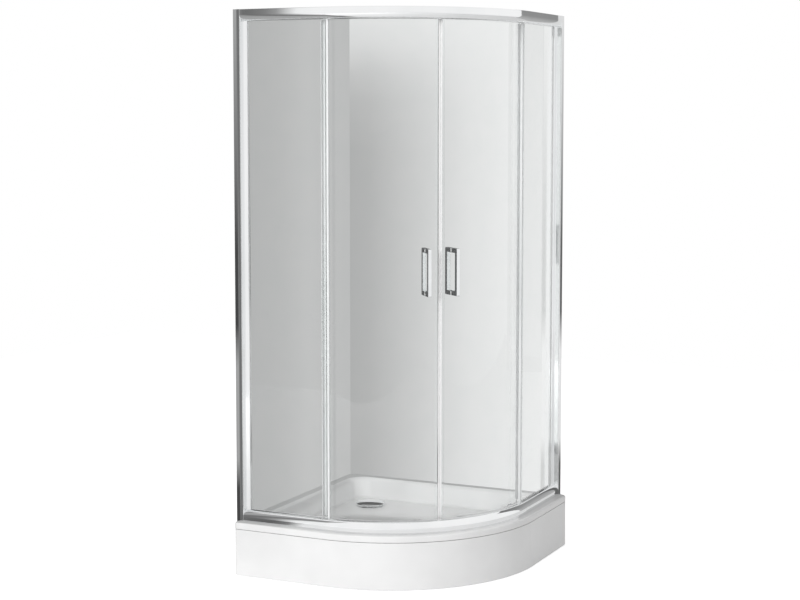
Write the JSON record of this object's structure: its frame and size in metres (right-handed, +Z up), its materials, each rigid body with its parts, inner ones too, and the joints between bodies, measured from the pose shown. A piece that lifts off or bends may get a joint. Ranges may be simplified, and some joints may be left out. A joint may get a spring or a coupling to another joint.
{
  "type": "quadrant shower enclosure",
  "caption": "Quadrant shower enclosure: chrome rails and wall profiles, fixed glass panels and curved glass doors on rollers, on a raised white tray.",
  "frame": {"origin": "on the floor under the centre of the tray's 900 mm square", "axes": "+X to the right along the front, +Y to the back wall, +Z up; the walls are at X -0.450 and Y +0.450"},
  "size_m": [0.9, 0.9, 1.95],
  "materials": {
    "glass": "clear toughened",
    "tray_acrylic": "glossy white acrylic",
    "chrome_profile": "polished",
    "chrome_handle": "polished",
    "chrome_waste": "polished",
    "meeting_seal": "satin white strip with magnet core",
    "clear_seal": "translucent flexible plastic",
    "gasket": "translucent grey",
    "waste_rubber": "black",
    "steel_hardware": "stainless",
    "roller_plastic": "white acetal",
    "bracket": "chromed",
    "white_plastic": "satin",
    "grey_plastic": "satin grey",
    "board": "raw board",
    "zinc_steel": "zinc plated",
    "foot_plastic": "black",
    "waste_plastic": "white"
  },
  "bodies": {
    "frame": {"apron_clips": "grey_plastic", "base_board": "board", "bottom_rail": "chrome_profile", "door_stops": "grey_plastic", "fixed_edge_strip_left": "clear_seal", "fixed_edge_strip_right": "clear_seal", "fixed_glass_left": "glass", "fixed_glass_right": "glass", "foot_nuts": "zinc_steel", "foot_pads": "foot_plastic", "foot_studs": "zinc_steel", "frame_screws": "steel_hardware", "glazing_gasket_left": "gasket", "glazing_gasket_right": "gasket", "leg_bars": "zinc_steel", "panel_frame_left": "chrome_profile", "panel_frame_right": "chrome_profile", "rail_end_blocks": "grey_plastic", "screw_caps": "grey_plastic", "top_rail": "chrome_profile", "tray_apron": "tray_acrylic", "tray_shell": "tray_acrylic", "wall_profile_left": "chrome_profile", "wall_profile_right": "chrome_profile", "waste_body": "waste_plastic", "waste_flange": "chrome_waste", "waste_seal": "waste_rubber"},
    "door_left": {"bottom_brackets_left": "bracket", "clamp_discs_left": "white_plastic", "clamp_screws_left": "steel_hardware", "door_glass_left": "glass", "handle_inner_left": "chrome_handle", "handle_outer_left": "chrome_handle", "handle_studs_left": "steel_hardware", "handle_washers_left": "white_plastic", "meeting_seal_left": "meeting_seal", "rear_seal_left": "clear_seal", "roller_axles_left": "steel_hardware", "top_brackets_left": "bracket"},
    "door_right": {"bottom_brackets_right": "bracket", "clamp_discs_right": "white_plastic", "clamp_screws_right": "steel_hardware", "door_glass_right": "glass", "handle_inner_right": "chrome_handle", "handle_outer_right": "chrome_handle", "handle_studs_right": "steel_hardware", "handle_washers_right": "white_plastic", "meeting_seal_right": "meeting_seal", "rear_seal_right": "clear_seal", "roller_axles_right": "steel_hardware", "top_brackets_right": "bracket"},
    "waste_cover": {"waste_cover": "chrome_waste"},
    "roller_bottom_front_left": {"roller_bottom_front_left": "roller_plastic"},
    "roller_bottom_front_right": {"roller_bottom_front_right": "roller_plastic"},
    "roller_bottom_rear_left": {"roller_bottom_rear_left": "roller_plastic"},
    "roller_bottom_rear_right": {"roller_bottom_rear_right": "roller_plastic"},
    "roller_top_front_left": {"roller_top_front_left": "roller_plastic"},
    "roller_top_front_right": {"roller_top_front_right": "roller_plastic"},
    "roller_top_rear_left": {"roller_top_rear_left": "roller_plastic"},
    "roller_top_rear_right": {"roller_top_rear_right": "roller_plastic"}
  },
  "joints": [
    {"name": "door_left_roll", "type": "hinge", "parent": "frame", "child": "door_left", "pos_m": [-0.1716, 0.3196, 1.0685], "axis": [0, 0, -1], "range_deg": [0, 20.49]},
    {"name": "door_right_roll", "type": "hinge", "parent": "frame", "child": "door_right", "pos_m": [-0.3196, 0.1716, 1.0685], "axis": [0, 0, 1], "range_deg": [0, 20.49]},
    {"name": "waste_cover_lift", "type": "slide", "parent": "frame", "child": "waste_cover", "axis": [0, 0, 1], "range_m": [0, 0.06]},
    {"name": "roller_top_front_left_spin", "type": "hinge", "parent": "door_left", "child": "roller_top_front_left", "pos_m": [0.18856, -0.30649, 1.936], "axis": [0.5789, -0.8154, 0], "range_deg": [-1, 1562]},
    {"name": "roller_top_front_right_spin", "type": "hinge", "parent": "door_right", "child": "roller_top_front_right", "pos_m": [0.30649, -0.18856, 1.936], "axis": [-0.8154, 0.5789, 0], "range_deg": [-1, 1562]},
    {"name": "roller_top_rear_left_spin", "type": "hinge", "parent": "door_left", "child": "roller_top_rear_left", "pos_m": [-0.05816, -0.39674, 1.936], "axis": [0.0839, -0.9965, 0], "range_deg": [-1, 1569]},
    {"name": "roller_top_rear_right_spin", "type": "hinge", "parent": "door_right", "child": "roller_top_rear_right", "pos_m": [0.39674, 0.05816, 1.936], "axis": [-0.9965, 0.0839, 0], "range_deg": [-1, 1569]},
    {"name": "roller_bottom_front_left_spin", "type": "hinge", "parent": "door_left", "child": "roller_bottom_front_left", "pos_m": [0.18856, -0.30649, 0.201], "axis": [-0.5789, 0.8154, 0], "range_deg": [-1, 1562]},
    {"name": "roller_bottom_front_right_spin", "type": "hinge", "parent": "door_right", "child": "roller_bottom_front_right", "pos_m": [0.30649, -0.18856, 0.201], "axis": [0.8154, -0.5789, 0], "range_deg": [-1, 1562]},
    {"name": "roller_bottom_rear_left_spin", "type": "hinge", "parent": "door_left", "child": "roller_bottom_rear_left", "pos_m": [-0.05816, -0.39674, 0.201], "axis": [-0.0839, 0.9965, 0], "range_deg": [-1, 1569]},
    {"name": "roller_bottom_rear_right_spin", "type": "hinge", "parent": "door_right", "child": "roller_bottom_rear_right", "pos_m": [0.39674, 0.05816, 0.201], "axis": [0.9965, -0.0839, 0], "range_deg": [-1, 1569]}
  ],
  "couplings": [
    {"joint": "roller_top_front_left_spin", "follows": "door_left_roll", "ratio": 76.031},
    {"joint": "roller_top_front_right_spin", "follows": "door_right_roll", "ratio": 76.031},
    {"joint": "roller_top_rear_left_spin", "follows": "door_left_roll", "ratio": 76.344},
    {"joint": "roller_top_rear_right_spin", "follows": "door_right_roll", "ratio": 76.344},
    {"joint": "roller_bottom_front_left_spin", "follows": "door_left_roll", "ratio": 76.031},
    {"joint": "roller_bottom_front_right_spin", "follows": "door_right_roll", "ratio": 76.031},
    {"joint": "roller_bottom_rear_left_spin", "follows": "door_left_roll", "ratio": 76.344},
    {"joint": "roller_bottom_rear_right_spin", "follows": "door_right_roll", "ratio": 76.344}
  ]
}
